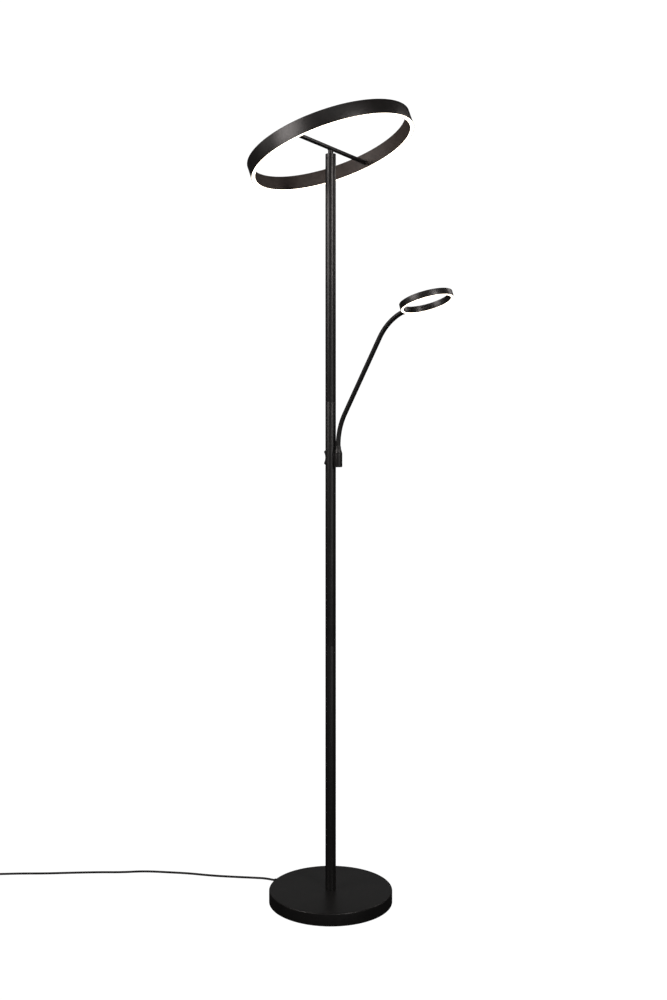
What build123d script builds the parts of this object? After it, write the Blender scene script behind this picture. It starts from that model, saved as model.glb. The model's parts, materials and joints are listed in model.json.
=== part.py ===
from build123d import *

import os
from math import cos, degrees, pi, radians, sin, tan

# Torchiere floor lamp: tilting light ring on a slim pole, with a gooseneck reading ring.
#
# Millimetres, +Z up. The origin is on the floor, at the centre of the base's underside, on
# the pole's axis. +X is to the right and +Y to the back of the lamp.

os.makedirs("parts", exist_ok=True)

# ---- driving dimensions -------------------------------------------------------------
CLEAR = 0.3  # gap between touching pieces that move past each other
FIT = 0.05  # radial clearance of a running fit
TOUCH = 0.02  # gap between curved faces that touch
DRILL = 2.0  # how far a drill runs past a wall

BASE_R = 140.0
BASE_TOP = 28.5
BASE_WALL = 1.6
BASE_TOP_WALL = 2.0
BASE_EDGE_R = 2.2
SKIRT_Z = 1.0
PAD_R = 134.0
PAD_TOP = 1.5
PLATE_R = 136.8
PLATE_TOP = 3.0
WEIGHT_R = 136.4
WELL_R = 15.0
WELL_TOP = 13.0
NIPPLE_R = 5.0
NIPPLE_BORE_R = 3.5
POLE_WASHER_R = 12.0
NUT_R = 9.8  # to its corners

POLE_R = 12.0
POLE_WALL = 1.2
POLE_TOP = 1689.0
POLE_SECTIONS = ("lower", "middle", "upper")
JOINER_LENGTH = 50.0
JOINER_BORE_R = 7.5
CAP_TOP = 1699.5
LEAD_R = 2.0

STEM_R = 6.0
STEM_BORE_R = 3.6
WIRE_HOLE_R = 3.0
STEM_BOTTOM = 1662.0
COLLAR_R = 9.0
COLLAR_HEIGHT = 8.0

RING_CENTRE_Z = 1715.0
RING_R = 194.0
RING_BORE_R = 184.5
RING_HEIGHT = 34.0
RING_TILT = 20.07
RING_LOW_AZIMUTH = 154.3
BAR_R = 5.0
BAR_BORE_R = 3.75
BAR_DROP = 2.5  # the bar's axis lies this far below the ring's centre

SWITCH_Z = 1009.0
ROCKER_TIP_R = 15.5
ROCKER_TIP_Z = 13.3
ROCKER_VALLEY_R = 12.2
ROCKER_HALF_WIDTH = 4.7
ROCKER_PIVOT_X = -6.5
ROCKER_RIDGE_R = 1.6

ARM_REACH = 22.6  # from the pole's axis to the arm's
ARM_AZIMUTH = -40.5
SOCKET_R = 9.3
SOCKET_BOTTOM = 988.0
SOCKET_TOP = 1019.7
SPIGOT_R = 4.0
NECK_R = 5.4
NECK_START_Z = 1038.0
NECK_LEAN = 30.65
NECK_LOWER_BEND_R = 139.0
NECK_STRAIGHT = 195.0
NECK_UPPER_BEND_R = 127.5
NECK_UPPER_TURN = 41.15

READER_R = 58.6
READER_BORE_R = 51.7
READER_HEIGHT = 14.2

CORD_R = 2.5
GLAND_AZIMUTH = 142.3
GLAND_Z = 9.0
GLAND_TIP_R = 166.0
COIL_CENTRE = (-862.0, 188.5)
COIL_R = 28.75  # at the middle of its turns
COIL_WIDTH = 17.5
COIL_HEIGHT = 4 * CORD_R
COIL_EDGE_R = 2.4

# ---- reference planes ---------------------------------------------------------------


def tilted_plane(centre, tilt, low_azimuth):
    """Plane through centre whose lowest side faces low_azimuth."""
    lean = sin(radians(tilt))
    azimuth = radians(low_azimuth)
    normal = (lean * cos(azimuth), lean * sin(azimuth), cos(radians(tilt)))
    across = (-sin(azimuth), cos(azimuth), 0)
    return Plane(origin=centre, x_dir=across, z_dir=normal)


def radial_plane(azimuth, distance, height):
    """Plane that faces outwards at a distance from the pole's axis."""
    a = radians(azimuth)
    origin = (distance * cos(a), distance * sin(a), height)
    return Plane(origin=origin, x_dir=(-sin(a), cos(a), 0), z_dir=(cos(a), sin(a), 0))


arm_azimuth = radians(ARM_AZIMUTH)
arm_plane = Plane(
    origin=(0, 0, 0),
    x_dir=(cos(arm_azimuth), sin(arm_azimuth), 0),
    z_dir=(sin(arm_azimuth), -cos(arm_azimuth), 0),
)
arm_at = arm_plane.from_local_coords((ARM_REACH, 0, 0))


def save(builder, name):
    builder.part.label = name
    export_step(builder.part, f"parts/{name}.step")


# ---- base ---------------------------------------------------------------------------

with BuildPart() as base_pad:
    Cylinder(PAD_R, PAD_TOP, align=(Align.CENTER, Align.CENTER, Align.MIN))
save(base_pad, "base_pad")

PLATE_SCREW_PCD_R = 112.0
SCREW_HEAD_R = 4.0
SCREW_SHANK_R = 2.0
with BuildPart() as bottom_plate:
    with BuildSketch(Plane.XY.offset(PAD_TOP)):
        Circle(PLATE_R)
        with PolarLocations(PLATE_SCREW_PCD_R, 4, start_angle=45):
            Circle(SCREW_HEAD_R + FIT, mode=Mode.SUBTRACT)
    extrude(amount=PLATE_TOP - PAD_TOP)
save(bottom_plate, "bottom_plate")

SCREW_DEPTH = 10.0
with BuildPart() as plate_screws:
    with BuildSketch(Plane.XY.offset(PAD_TOP)):
        with PolarLocations(PLATE_SCREW_PCD_R, 4, start_angle=45):
            Circle(SCREW_HEAD_R)
    extrude(amount=PLATE_TOP - PAD_TOP)
    with BuildSketch(Plane.XY.offset(PLATE_TOP)):
        with PolarLocations(PLATE_SCREW_PCD_R, 4, start_angle=45):
            Circle(SCREW_SHANK_R)
    extrude(amount=SCREW_DEPTH)
save(plate_screws, "plate_screws")

DRIVER_CENTRE_Y = 66.0
DRIVER_SIZE = (96.0, 42.0, 15.0)
DRIVER_CORNER_R = 3.0
POCKET_GAP = 1.5
CHANNEL_WIDTH = 16.0
WEIGHT_TOP = BASE_TOP - BASE_TOP_WALL
with BuildPart() as base_weight:
    with BuildSketch(Plane.XY.offset(PLATE_TOP)):
        Circle(WEIGHT_R)
    extrude(amount=WEIGHT_TOP - PLATE_TOP)
    with BuildSketch(Plane.XY.offset(PLATE_TOP)):
        Circle(WELL_R)
    extrude(amount=WELL_TOP - PLATE_TOP, mode=Mode.SUBTRACT)
    with BuildSketch(Plane.XY.offset(WELL_TOP)):
        Circle(NIPPLE_R + FIT)
    extrude(amount=WEIGHT_TOP - WELL_TOP, mode=Mode.SUBTRACT)
    with BuildSketch(Plane.XY.offset(PLATE_TOP)):
        with Locations((0, DRIVER_CENTRE_Y)):
            Rectangle(DRIVER_SIZE[0] + 2 * POCKET_GAP, DRIVER_SIZE[1] + 2 * POCKET_GAP)
        with Locations((0, DRIVER_CENTRE_Y / 2)):
            Rectangle(CHANNEL_WIDTH, DRIVER_CENTRE_Y)
        with Locations(Location((0, 0), GLAND_AZIMUTH)):
            with Locations((WEIGHT_R / 2 + WELL_R, 0)):
                Rectangle(WEIGHT_R, CHANNEL_WIDTH)
    extrude(amount=DRIVER_SIZE[2], mode=Mode.SUBTRACT)
    with BuildSketch(Plane.XY.offset(PLATE_TOP)):
        with PolarLocations(PLATE_SCREW_PCD_R, 4, start_angle=45):
            Circle(SCREW_SHANK_R + FIT)
    extrude(amount=SCREW_DEPTH + DRILL, mode=Mode.SUBTRACT)
save(base_weight, "base_weight")

with BuildPart() as led_driver:
    with BuildSketch(Plane.XY.offset(PLATE_TOP)):
        with Locations((0, DRIVER_CENTRE_Y)):
            RectangleRounded(DRIVER_SIZE[0], DRIVER_SIZE[1], DRIVER_CORNER_R)
    extrude(amount=DRIVER_SIZE[2])
save(led_driver, "led_driver")

GLAND_HOLE_R = 4.2
with BuildPart() as base_cover:
    with BuildSketch(Plane.XY.offset(SKIRT_Z)):
        Circle(BASE_R)
    extrude(amount=BASE_TOP - SKIRT_Z)
    fillet(base_cover.edges().group_by(Axis.Z)[-1], BASE_EDGE_R)
    with BuildSketch(Plane.XY.offset(SKIRT_Z)):
        Circle(BASE_R - BASE_WALL)
    extrude(amount=BASE_TOP - BASE_TOP_WALL - SKIRT_Z, mode=Mode.SUBTRACT)
    with BuildSketch(Plane.XY.offset(SKIRT_Z)):
        Circle(NIPPLE_R + FIT)
    extrude(amount=BASE_TOP, mode=Mode.SUBTRACT)
    with BuildSketch(radial_plane(GLAND_AZIMUTH, BASE_R - 4 * BASE_WALL, GLAND_Z)):
        Circle(GLAND_HOLE_R)
    extrude(amount=8 * BASE_WALL, mode=Mode.SUBTRACT)
save(base_cover, "base_cover")

NIPPLE_BOTTOM = 4.5
NIPPLE_TOP = 52.0
with BuildPart() as threaded_nipple:
    with BuildSketch(Plane.XY.offset(NIPPLE_BOTTOM)):
        Circle(NIPPLE_R)
        Circle(NIPPLE_BORE_R, mode=Mode.SUBTRACT)
    extrude(amount=NIPPLE_TOP - NIPPLE_BOTTOM)
save(threaded_nipple, "threaded_nipple")

WASHER_THICKNESS = 2.0
with BuildPart() as pole_washer:
    with BuildSketch(Plane.XY.offset(WELL_TOP - WASHER_THICKNESS)):
        Circle(POLE_WASHER_R)
        Circle(NIPPLE_R + FIT, mode=Mode.SUBTRACT)
    extrude(amount=WASHER_THICKNESS)
save(pole_washer, "pole_washer")

NUT_HEIGHT = 6.0
with BuildPart() as pole_nut:
    with BuildSketch(Plane.XY.offset(WELL_TOP - WASHER_THICKNESS - NUT_HEIGHT)):
        RegularPolygon(NUT_R, 6)
        Circle(NIPPLE_R + FIT, mode=Mode.SUBTRACT)
    extrude(amount=NUT_HEIGHT)
save(pole_nut, "pole_nut")

GLAND_FLANGE_R = 5.5
GLAND_FLANGE = 2.0
GLAND_ROOT_R = 5.6
GLAND_END_R = 3.4
GLAND_GAP = 0.2
GLAND_GRIP = 0.1
gland_inside = BASE_R - BASE_WALL - GLAND_GAP
gland_back = gland_inside - GLAND_FLANGE
with BuildPart() as cord_gland:
    with BuildSketch(radial_plane(GLAND_AZIMUTH, gland_back, GLAND_Z)):
        Circle(GLAND_FLANGE_R)
    extrude(amount=GLAND_FLANGE)
    with BuildSketch(radial_plane(GLAND_AZIMUTH, gland_inside, GLAND_Z)):
        Circle(GLAND_HOLE_R - FIT)
    extrude(amount=BASE_WALL + 4 * GLAND_GAP)
    with BuildSketch(radial_plane(GLAND_AZIMUTH, BASE_R + GLAND_GAP, GLAND_Z)):
        Circle(GLAND_ROOT_R)
    with BuildSketch(radial_plane(GLAND_AZIMUTH, GLAND_TIP_R, GLAND_Z)):
        Circle(GLAND_END_R)
    loft()
    with BuildSketch(radial_plane(GLAND_AZIMUTH, gland_back - DRILL, GLAND_Z)):
        Circle(CORD_R - GLAND_GRIP)
    extrude(amount=GLAND_TIP_R - gland_back + 2 * DRILL, mode=Mode.SUBTRACT)
save(cord_gland, "cord_gland")

# ---- pole ---------------------------------------------------------------------------

SLOT_HALF_HEIGHT = 18.1
SLOT_HALF_WIDTH = 5.1
ARM_SCREW_ZS = (996.0, 1014.0)
ARM_SCREW_R = 1.5
ARM_WIRE_Z = 1005.0
ARM_WIRE_R = 1.8
section_length = (POLE_TOP - BASE_TOP) / len(POLE_SECTIONS)
for i, section in enumerate(POLE_SECTIONS):
    with BuildPart() as pole_tube:
        with BuildSketch(Plane.XY.offset(BASE_TOP + i * section_length)):
            Circle(POLE_R)
            Circle(POLE_R - POLE_WALL, mode=Mode.SUBTRACT)
        extrude(amount=section_length)
        if section == "middle":
            with BuildSketch(Plane.YZ):
                with Locations((0, SWITCH_Z)):
                    Rectangle(2 * SLOT_HALF_WIDTH, 2 * SLOT_HALF_HEIGHT)
            extrude(amount=-2 * POLE_R, mode=Mode.SUBTRACT)
            with BuildSketch(radial_plane(ARM_AZIMUTH, 0, 0)):
                with Locations((0, ARM_SCREW_ZS[0]), (0, ARM_SCREW_ZS[1])):
                    Circle(ARM_SCREW_R + FIT)
                with Locations((0, ARM_WIRE_Z)):
                    Circle(ARM_WIRE_R)
            extrude(amount=2 * POLE_R, mode=Mode.SUBTRACT)
    save(pole_tube, f"pole_{section}")

for i, name in enumerate(("lower_joiner", "upper_joiner")):
    with BuildPart() as pole_joiner:
        middle = BASE_TOP + (i + 1) * section_length
        with BuildSketch(Plane.XY.offset(middle - JOINER_LENGTH / 2)):
            Circle(POLE_R - POLE_WALL - FIT)
            Circle(JOINER_BORE_R, mode=Mode.SUBTRACT)
        extrude(amount=JOINER_LENGTH)
    save(pole_joiner, name)

FOOT_PLUG_TOP = 60.0
with BuildPart() as pole_foot_plug:
    with BuildSketch(Plane.XY.offset(BASE_TOP)):
        Circle(POLE_R - POLE_WALL - FIT)
        Circle(NIPPLE_R + FIT, mode=Mode.SUBTRACT)
    extrude(amount=FOOT_PLUG_TOP - BASE_TOP)
save(pole_foot_plug, "pole_foot_plug")

CAP_SPIGOT_BOTTOM = 1674.0
CAP_EDGE = 0.6
with BuildPart() as pole_cap:
    with BuildSketch(Plane.XY.offset(POLE_TOP)):
        Circle(POLE_R)
    extrude(amount=CAP_TOP - POLE_TOP)
    chamfer(pole_cap.edges().group_by(Axis.Z)[-1], CAP_EDGE)
    with BuildSketch(Plane.XY.offset(CAP_SPIGOT_BOTTOM)):
        Circle(POLE_R - POLE_WALL - FIT)
    extrude(amount=POLE_TOP - CAP_SPIGOT_BOTTOM)
    with BuildSketch(Plane.XY.offset(CAP_SPIGOT_BOTTOM)):
        Circle(STEM_R + FIT)
    extrude(amount=CAP_TOP - CAP_SPIGOT_BOTTOM, mode=Mode.SUBTRACT)
save(pole_cap, "pole_cap")

LEAD_OFFSET = 4.0
LEAD_BOTTOM = 17.0
LEAD_SHIFT_FROM = 75.0
LEAD_SHIFT_TO = 135.0
LEAD_TOP = 1655.0
LEAD_BEND_R = 200.0
with BuildPart() as pole_lead:
    with BuildLine() as lead_route:
        FilletPolyline(
            (0, 0, LEAD_BOTTOM),
            (0, 0, LEAD_SHIFT_FROM),
            (LEAD_OFFSET, 0, LEAD_SHIFT_TO),
            (LEAD_OFFSET, 0, LEAD_TOP),
            radius=LEAD_BEND_R,
        )
    with BuildSketch(Plane(origin=lead_route.line @ 0, z_dir=lead_route.line % 0)):
        Circle(LEAD_R)
    sweep()
save(pole_lead, "pole_lead")

# ---- switch -------------------------------------------------------------------------

HOUSING_HALF_HEIGHT = 21.0
HOUSING_BACK_X = -0.8
CAVITY_FRONT_X = -12.0
CAVITY_BACK_X = -2.8
PIN_R = 1.0
HUB_R = 3.0
with BuildPart() as switch_housing:
    with BuildSketch(Plane.XY.offset(SWITCH_Z - HOUSING_HALF_HEIGHT)):
        Circle(POLE_R - POLE_WALL - FIT)
        with Locations((HOUSING_BACK_X + POLE_R, 0)):
            Rectangle(2 * POLE_R, 2 * POLE_R, mode=Mode.SUBTRACT)
    extrude(amount=2 * HOUSING_HALF_HEIGHT)
    with BuildSketch(Plane.YZ.offset(CAVITY_FRONT_X)):
        with Locations((0, SWITCH_Z)):
            Rectangle(2 * ROCKER_HALF_WIDTH + 2 * CLEAR, 2 * SLOT_HALF_HEIGHT)
    extrude(amount=CAVITY_BACK_X - CAVITY_FRONT_X, mode=Mode.SUBTRACT)
    with BuildSketch(Plane.XZ):
        with Locations((ROCKER_PIVOT_X, SWITCH_Z)):
            Circle(PIN_R + TOUCH)
    extrude(amount=POLE_R, both=True, mode=Mode.SUBTRACT)
save(switch_housing, "switch_housing")

PIN_HALF_LENGTH = 6.4
with BuildPart() as rocker_pin:
    with BuildSketch(Plane.XZ):
        with Locations((ROCKER_PIVOT_X, SWITCH_Z)):
            Circle(PIN_R)
    extrude(amount=PIN_HALF_LENGTH, both=True)
save(rocker_pin, "rocker_pin")

ROCKER_END_Z = 17.3
ROCKER_EDGE_R = 11.6
ROCKER_BACK_R = 9.2
with BuildPart() as rocker_cap:
    with BuildSketch(Plane.XZ) as rocker_outline:
        with BuildLine():
            ThreePointArc(
                (-ROCKER_TIP_R, SWITCH_Z - ROCKER_TIP_Z),
                (-ROCKER_VALLEY_R, SWITCH_Z),
                (-ROCKER_TIP_R, SWITCH_Z + ROCKER_TIP_Z),
            )
            Polyline(
                (-ROCKER_TIP_R, SWITCH_Z + ROCKER_TIP_Z),
                (-ROCKER_EDGE_R, SWITCH_Z + ROCKER_END_Z),
                (-ROCKER_BACK_R, SWITCH_Z + ROCKER_END_Z),
                (ROCKER_PIVOT_X, SWITCH_Z + HUB_R),
                (ROCKER_PIVOT_X, SWITCH_Z - HUB_R),
                (-ROCKER_BACK_R, SWITCH_Z - ROCKER_END_Z),
                (-ROCKER_EDGE_R, SWITCH_Z - ROCKER_END_Z),
                (-ROCKER_TIP_R, SWITCH_Z - ROCKER_TIP_Z),
            )
        make_face()
        fillet(rocker_outline.vertices().group_by(Axis.X)[0], ROCKER_RIDGE_R)
        with Locations((ROCKER_PIVOT_X, SWITCH_Z)):
            Circle(HUB_R)
            Circle(PIN_R + FIT, mode=Mode.SUBTRACT)
    extrude(amount=ROCKER_HALF_WIDTH, both=True)
save(rocker_cap, "rocker_cap")

# ---- head: swivelling stem and crossbar ---------------------------------------------

bar_z = RING_CENTRE_Z - BAR_DROP
bar_azimuth = RING_LOW_AZIMUTH - 90
WASHER_R = 7.0
WASHER_GAP = 0.4
PIVOT_WASHER = 2.3
bar_half = RING_BORE_R - WASHER_GAP - PIVOT_WASHER
INSERT_LENGTH = 15.0
PIVOT_R = 2.5
PIVOT_HEAD_R = 4.5
PIVOT_HEAD = 3.0
bar_ends = (bar_azimuth, bar_azimuth + 180)

with BuildPart() as crossbar:
    with BuildSketch(radial_plane(bar_azimuth, 0, bar_z)):
        Circle(BAR_R)
    extrude(amount=bar_half, both=True)
    with BuildSketch(radial_plane(bar_azimuth, 0, bar_z)):
        Circle(BAR_BORE_R)
    extrude(amount=bar_half, both=True, mode=Mode.SUBTRACT)
    with BuildSketch(Plane.XY.offset(bar_z - BAR_R)):
        Circle(WIRE_HOLE_R)
    extrude(amount=BAR_R, mode=Mode.SUBTRACT)
save(crossbar, "crossbar")

with BuildPart() as neck_stem:
    with BuildSketch(Plane.XY.offset(STEM_BOTTOM)):
        Circle(STEM_R)
        Circle(STEM_BORE_R, mode=Mode.SUBTRACT)
    extrude(amount=bar_z - STEM_BOTTOM)
    with BuildSketch(radial_plane(bar_azimuth, 0, bar_z)):
        Circle(BAR_R + TOUCH)
    extrude(amount=4 * STEM_R, both=True, mode=Mode.SUBTRACT)
save(neck_stem, "neck_stem")

with BuildPart() as stem_collar:
    with BuildSketch(Plane.XY.offset(CAP_SPIGOT_BOTTOM - CLEAR - COLLAR_HEIGHT)):
        Circle(COLLAR_R)
        Circle(STEM_R + FIT, mode=Mode.SUBTRACT)
    extrude(amount=COLLAR_HEIGHT)
    with BuildSketch(Plane.YZ):
        with Locations((0, CAP_SPIGOT_BOTTOM - CLEAR - COLLAR_HEIGHT / 2)):
            Circle(SCREW_SHANK_R + FIT)
    extrude(amount=COLLAR_R + DRILL, mode=Mode.SUBTRACT)
save(stem_collar, "stem_collar")

COLLAR_SCREW_RECESS = 0.2
with BuildPart() as collar_screw:
    with BuildSketch(Plane.YZ.offset(STEM_R + FIT)):
        with Locations((0, CAP_SPIGOT_BOTTOM - CLEAR - COLLAR_HEIGHT / 2)):
            Circle(SCREW_SHANK_R)
    extrude(amount=COLLAR_R - STEM_R - COLLAR_SCREW_RECESS)
save(collar_screw, "collar_screw")

with BuildPart() as bar_inserts:
    for end in bar_ends:
        with BuildSketch(radial_plane(end, bar_half - INSERT_LENGTH, bar_z)):
            Circle(BAR_BORE_R - FIT)
            Circle(PIVOT_R + FIT, mode=Mode.SUBTRACT)
        extrude(amount=INSERT_LENGTH)
save(bar_inserts, "bar_inserts")

with BuildPart() as friction_washers:
    for end in bar_ends:
        with BuildSketch(radial_plane(end, bar_half, bar_z)):
            Circle(WASHER_R)
            Circle(PIVOT_R + FIT, mode=Mode.SUBTRACT)
        extrude(amount=PIVOT_WASHER)
save(friction_washers, "friction_washers")

# ---- light rings --------------------------------------------------------------------

LIP = 1.1
WEB = 1.5
BOARD = 1.6
BOARD_GAP = 0.4
LENS = 1.6
LENS_LEG = 1.0
LENS_LEG_HEIGHT = 3.0


def annulus(plane, low, high, outer, inner, mode=Mode.ADD):
    """Flat ring between two heights above a plane, for the open part builder."""
    with BuildSketch(plane.offset(low)) as ring:
        Circle(outer)
        Circle(inner, mode=Mode.SUBTRACT)
    extrude(ring.sketch, amount=high - low, mode=mode)


def channel(plane, outer, inner, height):
    """U-shaped ring profile that opens downwards."""
    annulus(plane, -height / 2, height / 2, outer, inner)
    annulus(plane, -height / 2, height / 2 - WEB, outer - LIP, inner + LIP, Mode.SUBTRACT)


def led_board(plane, outer, inner, height):
    top = height / 2 - WEB
    annulus(plane, top - BOARD, top, outer - LIP - BOARD_GAP, inner + LIP + BOARD_GAP)


def diffuser(plane, outer, inner, height):
    """Shallow lens that closes the channel, with a snap leg along each wall."""
    out = outer - LIP - FIT
    into = inner + LIP + FIT
    annulus(plane, -height / 2, LENS - height / 2, out, into)
    annulus(plane, LENS - height / 2, LENS_LEG_HEIGHT - height / 2, out, out - LENS_LEG)
    annulus(plane, LENS - height / 2, LENS_LEG_HEIGHT - height / 2, into + LENS_LEG, into)


ring_plane = tilted_plane((0, 0, RING_CENTRE_Z), RING_TILT, RING_LOW_AZIMUTH)

with BuildPart() as ring_housing:
    channel(ring_plane, RING_R, RING_BORE_R, RING_HEIGHT)
    for end in bar_ends:
        with BuildSketch(radial_plane(end, RING_BORE_R - DRILL, bar_z)):
            Circle(PIVOT_R + FIT)
        extrude(amount=LIP + 2 * DRILL, mode=Mode.SUBTRACT)
save(ring_housing, "ring_housing")

with BuildPart() as ring_led_board:
    led_board(ring_plane, RING_R, RING_BORE_R, RING_HEIGHT)
save(ring_led_board, "ring_led_board")

with BuildPart() as ring_diffuser:
    diffuser(ring_plane, RING_R, RING_BORE_R, RING_HEIGHT)
save(ring_diffuser, "ring_diffuser")

PIVOT_REACH = 17.0
with BuildPart() as pivot_screws:
    for end in bar_ends:
        with BuildSketch(radial_plane(end, RING_BORE_R - PIVOT_REACH, bar_z)):
            Circle(PIVOT_R)
        extrude(amount=PIVOT_REACH + LIP + FIT)
        with BuildSketch(radial_plane(end, RING_BORE_R + LIP + FIT, bar_z)):
            Circle(PIVOT_HEAD_R)
        extrude(amount=PIVOT_HEAD)
save(pivot_screws, "pivot_screws")

# ---- reading arm --------------------------------------------------------------------

SOCKET_EDGE_R = 1.5
SOCKET_WEB_INSET = 2.0
SOCKET_BORE_BOTTOM = 1000.0
WEB_HALF_WIDTH = 3.6
SPIGOT_BOTTOM = 1000.5
GRUB_Z = 1010.0
GRUB_R = 1.5
GROOVE_R = 3.2
ARM_SCREW_TIP = 16.4  # from the pole's axis
with BuildPart() as arm_socket:
    with BuildSketch(Plane.XY.offset(SOCKET_BOTTOM)):
        with Locations((arm_at.X, arm_at.Y)):
            Circle(SOCKET_R)
    extrude(amount=SOCKET_TOP - SOCKET_BOTTOM)
    fillet(arm_socket.edges().group_by(Axis.Z)[0], SOCKET_EDGE_R)
    with BuildSketch(Plane.XY.offset(SOCKET_BOTTOM + SOCKET_WEB_INSET)):
        with Locations(Location((0, 0), ARM_AZIMUTH)):
            with Locations((ARM_REACH / 2 + POLE_R / 2, 0)):
                Rectangle(ARM_REACH - POLE_R, 2 * WEB_HALF_WIDTH)
        Circle(POLE_R + TOUCH, mode=Mode.SUBTRACT)
    extrude(amount=SOCKET_TOP - SOCKET_BOTTOM - 2 * SOCKET_WEB_INSET)
    with BuildSketch(Plane.XY.offset(SOCKET_BORE_BOTTOM)):
        with Locations((arm_at.X, arm_at.Y)):
            Circle(SPIGOT_R + FIT)
    extrude(amount=SOCKET_TOP, mode=Mode.SUBTRACT)
    with BuildSketch(radial_plane(ARM_AZIMUTH, POLE_R - DRILL, 0)):
        with Locations((0, ARM_SCREW_ZS[0]), (0, ARM_SCREW_ZS[1])):
            Circle(ARM_SCREW_R + FIT)
    extrude(amount=ARM_SCREW_TIP - POLE_R + DRILL + CLEAR, mode=Mode.SUBTRACT)
    with BuildSketch(radial_plane(ARM_AZIMUTH, POLE_R - DRILL, 0)):
        with Locations((0, ARM_WIRE_Z)):
            Circle(ARM_WIRE_R)
    extrude(amount=ARM_REACH - POLE_R + DRILL, mode=Mode.SUBTRACT)
    with BuildSketch(arm_plane):
        with Locations((ARM_REACH, GRUB_Z)):
            Circle(GRUB_R + FIT)
    extrude(amount=-SOCKET_R - DRILL, mode=Mode.SUBTRACT)
save(arm_socket, "arm_socket")

ARM_SCREW_SEAT = 10.2  # from the pole's axis
ARM_SCREW_HEAD_R = 2.8
ARM_SCREW_HEAD = 2.0
with BuildPart() as arm_screws:
    for screw_z in ARM_SCREW_ZS:
        with BuildSketch(radial_plane(ARM_AZIMUTH, ARM_SCREW_SEAT, 0)):
            with Locations((0, screw_z)):
                Circle(ARM_SCREW_R)
        extrude(amount=ARM_SCREW_TIP - ARM_SCREW_SEAT)
        with BuildSketch(radial_plane(ARM_AZIMUTH, ARM_SCREW_SEAT, 0)):
            with Locations((0, screw_z)):
                Circle(ARM_SCREW_HEAD_R)
        extrude(amount=-ARM_SCREW_HEAD)
save(arm_screws, "arm_screws")

GRUB_RECESS = 0.6
with BuildPart() as grub_screw:
    with BuildSketch(arm_plane.offset(-GROOVE_R - 2 * FIT)):
        with Locations((ARM_REACH, GRUB_Z)):
            Circle(GRUB_R)
    extrude(amount=-(SOCKET_R - GROOVE_R - GRUB_RECESS))
save(grub_screw, "grub_screw")

SLEEVE_ROOT_R = 9.1
SLEEVE_R = 6.6
SLEEVE_END_R = 5.9
SLEEVE_Z = 1028.5
SLEEVE_TOP = 1036.0
NECK_ROOT_Z = 1024.0
with BuildPart() as arm_swivel:
    with BuildSketch(arm_plane):
        with BuildLine():
            Polyline(
                (ARM_REACH, SPIGOT_BOTTOM),
                (ARM_REACH + SPIGOT_R, SPIGOT_BOTTOM),
                (ARM_REACH + SPIGOT_R, GRUB_Z - GRUB_R - CLEAR),
                (ARM_REACH + GROOVE_R, GRUB_Z - GRUB_R - CLEAR),
                (ARM_REACH + GROOVE_R, GRUB_Z + GRUB_R + CLEAR),
                (ARM_REACH + SPIGOT_R, GRUB_Z + GRUB_R + CLEAR),
                (ARM_REACH + SPIGOT_R, SOCKET_TOP + CLEAR),
                (ARM_REACH + SLEEVE_ROOT_R, SOCKET_TOP + CLEAR),
                (ARM_REACH + SLEEVE_R, SLEEVE_Z),
                (ARM_REACH + SLEEVE_END_R, SLEEVE_TOP),
                (ARM_REACH + NECK_R + FIT, SLEEVE_TOP),
                (ARM_REACH + NECK_R + FIT, NECK_ROOT_Z),
                (ARM_REACH, NECK_ROOT_Z),
                close=True,
            )
        make_face()
    revolve(axis=Axis(arm_at, (0, 0, 1)))
save(arm_swivel, "arm_swivel")

CUP_R = NECK_R + CLEAR


def along(start, lean, length, bend_radius=None):
    """End point and end lean of one run of the gooseneck, in the arm's own plane."""
    if bend_radius is None:
        step = (length * sin(radians(lean)), length * cos(radians(lean)))
        return (start[0] + step[0], start[1] + step[1]), lean
    new_lean = lean + degrees(length / bend_radius)
    right = bend_radius * (cos(radians(lean)) - cos(radians(new_lean)))
    up = bend_radius * (sin(radians(new_lean)) - sin(radians(lean)))
    return (start[0] + right, start[1] + up), new_lean


# Runs from the socket outwards: each is one piece of the gooseneck, (length, bend radius).
lower_arc = NECK_LOWER_BEND_R * radians(NECK_LEAN)
upper_arc = NECK_UPPER_BEND_R * radians(NECK_UPPER_TURN)
neck_runs = (
    [(lower_arc, NECK_LOWER_BEND_R)]
    + [(NECK_STRAIGHT / 4, None)] * 4
    + [(upper_arc / 2, NECK_UPPER_BEND_R)] * 2
)

with BuildPart() as neck_root:
    with BuildSketch(Plane.XY.offset(NECK_ROOT_Z)):
        with Locations((arm_at.X, arm_at.Y)):
            Circle(NECK_R)
    extrude(amount=NECK_START_Z - NECK_ROOT_Z)
    with Locations((arm_at.X, arm_at.Y, NECK_START_Z)):
        Sphere(NECK_R)
save(neck_root, "neck_root")

FERRULE_R = 6.2
FERRULE_LENGTH = 11.0
neck_point, neck_lean = (ARM_REACH, NECK_START_Z), 0.0
for i, (length, bend_radius) in enumerate(neck_runs):
    next_point, next_lean = along(neck_point, neck_lean, length, bend_radius)
    tangent = (sin(radians(neck_lean)), cos(radians(neck_lean)))
    joint_at = arm_plane.from_local_coords((neck_point[0], neck_point[1], 0))
    next_at = arm_plane.from_local_coords((next_point[0], next_point[1], 0))
    is_last = i == len(neck_runs) - 1
    with BuildPart() as neck_segment:
        with BuildLine(arm_plane) as run:
            if bend_radius is None:
                Line(neck_point, next_point)
            else:
                JernArc(neck_point, tangent, bend_radius, neck_lean - next_lean)
        with BuildSketch(Plane(origin=run.line @ 0, z_dir=run.line % 0)):
            Circle(NECK_R)
        sweep()
        with Locations(joint_at):
            Sphere(CUP_R, mode=Mode.SUBTRACT)
        if not is_last:
            with Locations(next_at):
                Sphere(NECK_R)
    save(neck_segment, f"neck_segment_{i + 1}")
    print(f"bend {i + 1} at", [round(v, 2) for v in joint_at], "lean", round(neck_lean, 2))
    neck_point, neck_lean = next_point, next_lean

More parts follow.
